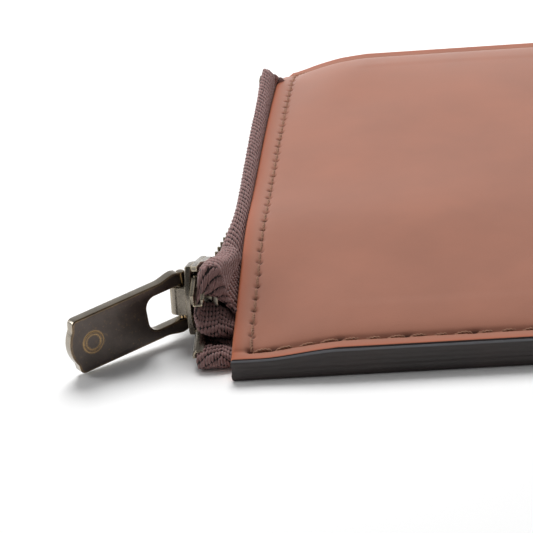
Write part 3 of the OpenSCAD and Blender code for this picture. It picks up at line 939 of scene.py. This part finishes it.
def weave_tape(name, grid, seed, nodes=(), course=1.3, wale=0.34, lean=13, plump=1.0, skip=0.0, turn=0.5):
    """A piece of zip tape: a core sheet, coloured near black as painted shade between the yarns, with floats
    of yarn on both its faces.
    """
    rng = random.Random(seed)
    core, faces = cloth_sheet(grid, CORE_T)
    parts = [core]
    count = len(core)
    for side in (1, -1):
        points, side_faces = yarns(grid, side, CORE_T, course, wale, lean, rng, plump, skip, turn)
        faces += [[i + count for i in face] for face in side_faces]
        count += len(points)
        parts.append(points)
    tape = shade(mesh_object(name, np.concatenate(parts), faces), 80)
    # the core's points are marked for the painted shade between the yarns
    point_values(tape, "core_shade", np.arange(count) < len(core))
    finish_piece(tape, "pouch", [TAPE], nodes)


TAPE_COLUMNS = 64
LIP_COLUMNS = 50


def tape_grid(upper, places):
    """A tape's middle surface; its far end is tucked in behind the leather's corner."""
    rows = []
    for s in places:
        line = even_line(tape_line(upper, s), TAPE_COLUMNS)
        tuck = 2.6 * float(smooth(97, TAPE_END, s)) * (1 - smooth(-42.5, -41, line[:, 0]))
        rows.append(np.stack([line[:, 0] + tuck, np.full(TAPE_COLUMNS, s - HALF_L), line[:, 1]], -1))
    return np.array(rows)


def swept(rows, place):
    """A grid built row by row: place(t) gives the 3-D points of the row at t, from 0 to 1."""
    return np.array([place(t) for t in np.linspace(0, 1, rows)])


# lines across the tapes' ends, as (x, z, place along the zip) or, for the rolled end, (x, z)
MOUTH_FROM = 12.7
JAW = [(-35.5, 3.0, 12.0), (-38.8, 3.3, 12.0), (-42.0, 4.6, 11.9), (-43.0, 6.0, 11.7), (-44.2, 7.4, 11.3),
       (-45.4, 8.4, 10.7), (-46.2, 8.3, 9.5), (-46.8, 7.5, 8.9), (-47.1, 6.6, 8.7)]
LIP = [(-47.1, 6.6, 8.7), (-47.0, 5.8, 8.3), (-46.4, 5.1, 8.0), (-45.2, 4.55, 8.2), (-43.8, 4.1, 8.8),
       (-42.4, 3.6, 9.6), (-41.0, 3.1, 10.2)]
LOW_END = [(-40.5, 1.62), (-42.2, 1.75), (-43.6, 2.15), (-45.0, 2.35), (-46.3, 2.3), (-47.0, 1.9)]


def part_of(t, start, share):
    """How much of the stretch that starts at start and is share long has passed at t."""
    return min(1, max(0, t - start) / share)


def make_upper_end():
    """The upper tape's end, turned under into an open mouth whose lower lip runs back into the seam."""
    jaw = even_line(JAW, TAPE_COLUMNS)
    root = even_line(tape_line(True, MOUTH_FROM + 0.1), TAPE_COLUMNS)

    def mouth(t):
        w = smooth(0, 1, t)
        section = root * (1 - w) + jaw[:, :2] * w
        s = MOUTH_FROM + (jaw[:, 2] - MOUTH_FROM) * t
        return np.stack([section[:, 0], s - HALF_L, section[:, 1]], -1)

    weave_tape("upper_tape_end", swept(16, mouth), 21, skip=5.2)
    x, z, s_end = even_line(LIP, LIP_COLUMNS).T
    roll = 0.62 * np.clip(np.linspace(0, 1, LIP_COLUMNS) / 0.16, 0.3, 1)

    def lip(t):
        flat = min(1, t / 0.3)
        turn = part_of(t, 0.3, 0.45) * math.pi
        s = MOUTH_FROM + (s_end - MOUTH_FROM) * flat - roll * math.sin(turn) + 2.4 * part_of(t, 0.75, 0.25)
        slope = 1.1 * (1 - flat) * (1 - smooth(-44.0, -42.6, x))
        return np.stack([x, s - HALF_L, z - roll * (1 - math.cos(turn)) + slope], -1)

    weave_tape("upper_tape_lip", swept(34, lip), 22, course=0.95, wale=0.5, lean=16, plump=1.3)


def make_lower_end():
    """The lower tape's end, rolled under on the rest face."""
    x, z = even_line(LOW_END, LIP_COLUMNS).T
    roll = np.clip((z - 0.42) / 2, 0.3, 1.0)

    def rolled(t):
        turn = math.pi * part_of(t, 0.35, 0.4)
        s = 6.4 - 2.1 * min(1, t / 0.35) - roll * math.sin(turn) + 1.6 * part_of(t, 0.75, 0.25)
        return np.stack([x, s - HALF_L, z - roll * (1 - math.cos(turn))], -1)

    weave_tape("lower_tape_end", swept(34, rolled), 23, course=1.0, wale=0.42, lean=16, plump=1.2)


def make_tapes():
    for side, upper, start, seed in (("upper", True, MOUTH_FROM, 11), ("lower", False, 4.6, 12)):
        places = list(np.arange(start, 50, 0.3)) + list(np.arange(50.2, TAPE_END, 0.6))
        weave_tape(side + "_zip_tape", tape_grid(upper, places), seed, [side + "_tape"], skip=5.2, turn=0.55)
    make_upper_end()
    make_lower_end()


# -------- teeth and stops
def arc(cx, cy, r, a0, a1, n):
    """Points of an arc in n steps, angles in degrees."""
    turns = [math.radians(a0 + (a1 - a0) * i / n) for i in range(n + 1)]
    return [(cx + r * math.cos(a), cy + r * math.sin(a)) for a in turns]


def chain_matrix(upper, x, y, z, slope=0.0):
    """Places a shape drawn in the chain's section plane, its open side towards the tape."""
    return shift(x, y, z) @ rotation(x=slope) @ rotation(x=90) @ rotation(z=90 if upper else -90)


TEETH_S = 14.0
TEETH_COUNT = int((BODY_L - 14 - TEETH_S) / TOOTH_PITCH)


def tooth_outline(w):
    slot = TAPE_T / 2 + 0.05
    jaw = 1.05
    head = [(-0.95, -w), (-1.35, 0.29 - w)] + arc(-1.2, 0, 0.58, -120, -240, 6) + [(-1.35, w - 0.29)]
    return [(-0.95, w), (jaw, w), (jaw, slot), (-0.52, slot), (-0.52, -slot), (jaw, -slot), (jaw, -w)] + head


def make_teeth():
    for side, upper, first, offset in (("upper", True, 0, 0.0), ("lower", False, -2, 0.5)):
        parts = []
        for i in range(first, TEETH_COUNT):
            s = TEETH_S + (i + offset) * TOOTH_PITCH
            wide = 1.15 - 0.52 * float(smooth(LEAVE_S, SETTLE_S - 8, s))
            matrix = chain_matrix(upper, chain_out(s), s - HALF_L, bead_z(upper, s))
            parts.append(plate("tooth", [tooth_outline(wide)], TOOTH_T, 0.11, matrix, 1))
        row = shade(join(side + "_zip_teeth", parts), 40)
        finish_piece(row, "pouch", [TOOTH_BRASS], [side + "_teeth"])


def stop_outline():
    r = 0.95
    slot = TAPE_T / 2 + 0.16
    wrap = [(1.1, r), (0.0, r)] + arc(0, 0, r, 97, 263, 14) + [(0.0, -r), (0.35, -r)]
    return wrap + [(0.35, -slot), (-0.52, -slot), (-0.52, slot), (1.1, slot)]


def make_top_stops():
    for side, upper, low, high in (("upper", True, 8.6, 13.1), ("lower", False, 4.6, 9.4)):
        middle = (low + high) / 2
        z_low, z_high = bead_z(upper, low), bead_z(upper, high)
        slope = math.degrees(math.atan((z_high - z_low) / (high - low)))
        matrix = chain_matrix(upper, chain_out(middle) - 0.2, middle - HALF_L, (z_low + z_high) / 2, slope)
        stop = shade(plate(side + "_stop", [stop_outline()], high - low, 0.2, matrix, 3), 40)
        finish_piece(stop, "pouch", [SLIDER_BRASS], [side + "_top_stop"])


def make_bottom_stop():
    """The stop across both tapes at the zip's far end: a block with a slot for each tape."""
    lo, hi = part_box("bottom_stop")
    size = (hi - lo) / MM
    centre = (hi + lo) / 2 / MM
    w, h = size.x / 2, size.z / 2
    slot, web = TAPE_T / 2 + 0.06, 0.75
    outline = [(-w, -h), (-slot, -h), (-slot, -web), (slot, -web), (slot, -h), (w, -h)]
    outline += [(-x, -z) for x, z in outline]
    matrix = shift(CLOSED_X, centre.y, centre.z) @ rotation(x=90)
    block = plate("bottom_zip_stop", [outline], size.y, 0.22, matrix, 3)
    finish_piece(shade(block, 40), "pouch", [TOOTH_BRASS], ["bottom_stop"])


# -------- slider, crown and pull
BODY_HALF = 2.3
PLATE_T = 0.95
INSIDE = BODY_HALF - PLATE_T
FLANGE = 0.7
AT_BAR = shift(-HALF_W - BAR_OUT, BAR_S - HALF_L, BAR_H)
ON_SLIDER = (AT_BAR @ rotation(z=-math.degrees(SLIDER_YAW)) @ rotation(x=-math.degrees(SLIDER_PITCH))
             @ rotation(x=90, z=90) @ shift(-BAR[0], -BAR[1], -BAR[2]))


TAIL_HALF = 3.4


def mirrored(upper):
    """The points with y turned over, in the opposite order."""
    return [(x, -y) for x, y in reversed(upper)]


def shield(bow):
    """Outline of a slider plate: bowed mouth, sloping shoulders, narrow round tail."""
    nose = [(-bow * (1 - a * a), SLIDER_W / 2 * a) for a in np.linspace(-1, 1, 17)]
    side = [(x, y) for x, y in SLIDER_HALF if 0 < x < SLIDER_L - 1]
    upper = side + arc(SLIDER_L - 1.2, TAIL_HALF - 1.2, 1.2, 90, 0, 6)
    return nose + upper + mirrored(upper)


def make_slider():
    plate_out = BODY_HALF - PLATE_T / 2
    parts = [plate("outer", [shield(1.3)], PLATE_T, 0.26, ON_SLIDER @ shift(0, 0, -plate_out), 3),
             plate("inner", [shield(0.5)], PLATE_T, 0.22, ON_SLIDER @ shift(0, 0, plate_out), 3)]
    edge = SLIDER_HALF[:-1] + [(SLIDER_L - 0.9, 3.2)]
    strip = edge + [(x, y - FLANGE) for x, y in reversed(edge)]
    flange_out = (INSIDE + 0.5) / 2 + 0.03
    for outline in (mirrored(strip), strip):
        for face in (-1, 1):
            place = ON_SLIDER @ shift(0, 0, face * flange_out)
            parts.append(plate("flange", [outline], INSIDE - 0.4, 0.06, place, 1))
    neck = [(0.2, -0.5), (1.8, -0.6), (3.2, -0.2), (3.2, 0.2), (1.8, 0.6), (0.2, 0.5)]
    parts.append(plate("neck", [neck], 2 * INSIDE + 0.2, 0.08, ON_SLIDER, 1))
    slider = shade(join("slider_casting", parts), 40)
    finish_piece(slider, "slider", [SLIDER_BRASS], ["slider_body"])


CROWN_W = 4.1
CROWN_TAIL_W = 3.0
CROWN_X0 = -0.4
CROWN_X1 = 7.8
CROWN_STRAP = 0.75
CROWN_TOP = -BODY_HALF - 1.75 - CROWN_STRAP
TAPER_FROM = 2.4


def make_crown():
    """The strap over the slider that holds the pull's bar, drawn from the side."""
    x0, x1, top, foot = CROWN_X0, CROWN_X1, CROWN_TOP, -BODY_HALF + 0.2
    under = top + CROWN_STRAP
    outline = [(x0, foot), (x0, foot - 1.4), (x0 + 0.15, foot - 1.75), (x0 + 0.55, top + 0.25),
               (x0 + 0.95, top + 0.06), (x0 + 1.5, top), (x1 - 2.6, top), (x1 - 2.2, top + 0.08),
               (x1 - 0.2, foot - 0.82), (x1, foot - 0.6), (x1, foot), (x1 - 2.0, foot),
               (x1 - 2.6, under + 0.3), (x1 - 3.0, under), (x0 + 1.3, under), (x0 + 1.0, under + 0.25),
               (x0 + 0.9, foot)]
    crown = plate("slider_bridge", [outline], CROWN_W, 0.2, Matrix(), 4)
    for v in crown.data.vertices:
        taper = max(0, v.co.x / MM - TAPER_FROM) / (x1 - TAPER_FROM)
        v.co.z *= 1 + (CROWN_TAIL_W / CROWN_W - 1) * taper
    crown.data.transform(rotation(x=90))
    crown.data.transform(ON_SLIDER)
    finish_piece(shade(crown, 40), "slider", [SLIDER_BRASS], ["slider_crown"])


def pull_rim():
    """Outline of the pull: flared by the bar, straight sides, slightly bowed tip."""
    w, flare = PULL_W / 2, 0.5
    upper = [(0.1, w + flare - 0.5), (0.5, w + flare - 0.1)]
    upper += [(1.1 + 2.8 * t, w + flare * (1 - float(smooth(0, 1, t)))) for t in np.linspace(0, 1, 11)]
    upper += arc(PULL_L - 1.7, w - 0.8, 0.8, 90, 15, 6)
    tip = [(PULL_L - 0.9 + 0.9 * (1 - v * v * 1.4), (w - 0.8) * v) for v in np.linspace(0.8, -0.8, 13)]
    return upper + tip + mirrored(upper)


def pull_hole():
    h, end, r = 2.6, 6.3, 1.6
    return [(0.55, -h)] + arc(end - r, r - h, r, -90, 0, 8) + arc(end - r, h - r, r, 0, 90, 8) + [(0.55, h)]


def make_pull():
    turned = AT_BAR @ rotation(x=90, z=90) @ rotation(y=90 + PULL_SWING)
    at_bar = turned @ rotation(z=-PULL_DROOP)
    body = plate("pull", [pull_rim(), pull_hole()], PULL_T, 0.22, at_bar, 4)
    root = PULL_W / 2 + 0.15
    bar = plate("bar", [arc(0, 0, 0.6, 0, 345, 23)], 2 * root, 0.1, turned @ rotation(x=90), 2)
    ring = [arc(0, 0, r, 0, 350, 35) for r in (1.55, 1.15)]
    marks = []
    for side in (-1, 1):
        place = at_bar @ shift(PULL_L - 3.6, 0, side * PULL_T / 2)
        marks.append(plate("mark", ring, 0.16, 0.05, place, 2))
    pull = shade(join("zip_pull", [body, bar] + marks), 40)
    finish_piece(pull, "pull", [PULL_BRASS, PULL_SIDES], ["pull_tab"])
    face = (at_bar.to_3x3() @ Vector((0, 0, 1))).normalized()
    walls = [1 if abs(p.normal.dot(face)) < 0.35 else 0 for p in pull.data.polygons]
    pull.data.polygons.foreach_set("material_index", walls)


# -------- parts kept from the CAD
def dress_cad():
    for node, material in (("back_lining", LINING), ("front_lining", LINING), ("seam_welt", PAINT),
                           ("lock_pawl", PAWL_STEEL)):
        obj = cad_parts[node]
        obj.data.materials.clear()
        obj.data.materials.append(material)
    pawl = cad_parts["lock_pawl"]
    weld = pawl.modifiers.new("weld", "WELD")
    weld.merge_threshold = 1e-6
    soften = pawl.modifiers.new("soften", "BEVEL")
    soften.width = 0.00015
    soften.segments = 3


# -------- stage, lights and camera
FLOOR_HALF = 900


def make_floor():
    corners = [(-1, -1), (1, -1), (1, 1), (-1, 1)]
    floor = mesh_object("floor", [(x * FLOOR_HALF, y * FLOOR_HALF, 0) for x, y in corners], [[0, 1, 2, 3]])
    paper = Nodes("floor_paper")
    floor.data.materials.append(paper.set(Base_Color=(252, 252, 252), Roughness=0.9))


def fade(tree, value, start, end, low, high):
    """A level that runs from low to high while value runs from start to end."""
    node = tree.nodes.new("ShaderNodeMapRange")
    sockets = (("From Min", start), ("From Max", end), ("To Min", low), ("To Max", high))
    for name, number in sockets:
        node.inputs[name].default_value = number
    tree.links.new(value, node.inputs["Value"])
    return node.outputs["Result"]


def make_studio():
    """A white surround, brighter behind the pouch and near the horizon."""
    world = bpy.data.worlds.new("studio")
    bpy.context.scene.world = world
    world.use_nodes = True
    tree = world.node_tree
    where = tree.nodes.new("ShaderNodeTexCoord")
    split = tree.nodes.new("ShaderNodeSeparateXYZ")
    both = tree.nodes.new("ShaderNodeMath")
    both.operation = "MULTIPLY"
    tree.links.new(where.outputs["Generated"], split.inputs["Vector"])
    tree.links.new(fade(tree, split.outputs["Y"], -0.9, 0.8, 0.12, 0.62), both.inputs[0])
    tree.links.new(fade(tree, split.outputs["Z"], 0.1, 0.75, 1.25, 0.62), both.inputs[1])
    background = tree.nodes["Background"]
    background.inputs["Color"].default_value = (1, 1, 1, 1)
    tree.links.new(both.outputs["Value"], background.inputs["Strength"])


def make_lamps():
    """Two soft boxes; the top one lights the leather without a mirror image in it."""
    for name, place, size, power, shines in (("top_softbox", (-80, 380, 520), 360, 4.6, False),
                                             ("left_softbox", (-560, 40, 300), 300, 1.1, True)):
        light = bpy.data.lights.new(name, "AREA")
        light.size = size * MM
        light.energy = power
        lamp = add_object(name, light)
        lamp.location = Vector(place) * MM
        lamp.visible_glossy = shines
        lamp.rotation_euler = (-lamp.location).to_track_quat("-Z", "Y").to_euler()


def make_camera():
    """A long lens, low over the zip's closed corner."""
    yaw, pitch, roll = math.radians(-6.4), math.radians(24.6), math.radians(-6.0)
    forward = Vector((math.sin(yaw) * math.cos(pitch), math.cos(yaw) * math.cos(pitch), -math.sin(pitch)))
    right = Vector((math.cos(yaw), -math.sin(yaw), 0))
    up = right.cross(forward)
    c, s = math.cos(roll), math.sin(roll)
    right, up = right * c + up * s, up * c - right * s
    data = bpy.data.cameras.new("camera")
    data.lens = 198.3
    data.sensor_width = 36
    data.clip_start = 0.01
    camera = add_object("camera", data)
    camera.matrix_world = shift(3.7, -406.0, 179.0) @ Matrix((right, up, -forward)).transposed().to_4x4()
    bpy.context.scene.camera = camera
    bpy.context.scene.view_settings.view_transform = "Standard"


make_panels()
make_edge_coat()
make_stitches()
make_tapes()
make_teeth()
make_top_stops()
make_bottom_stop()
make_slider()
make_crown()
make_pull()
dress_cad()
make_floor()
make_studio()
make_lamps()
make_camera()
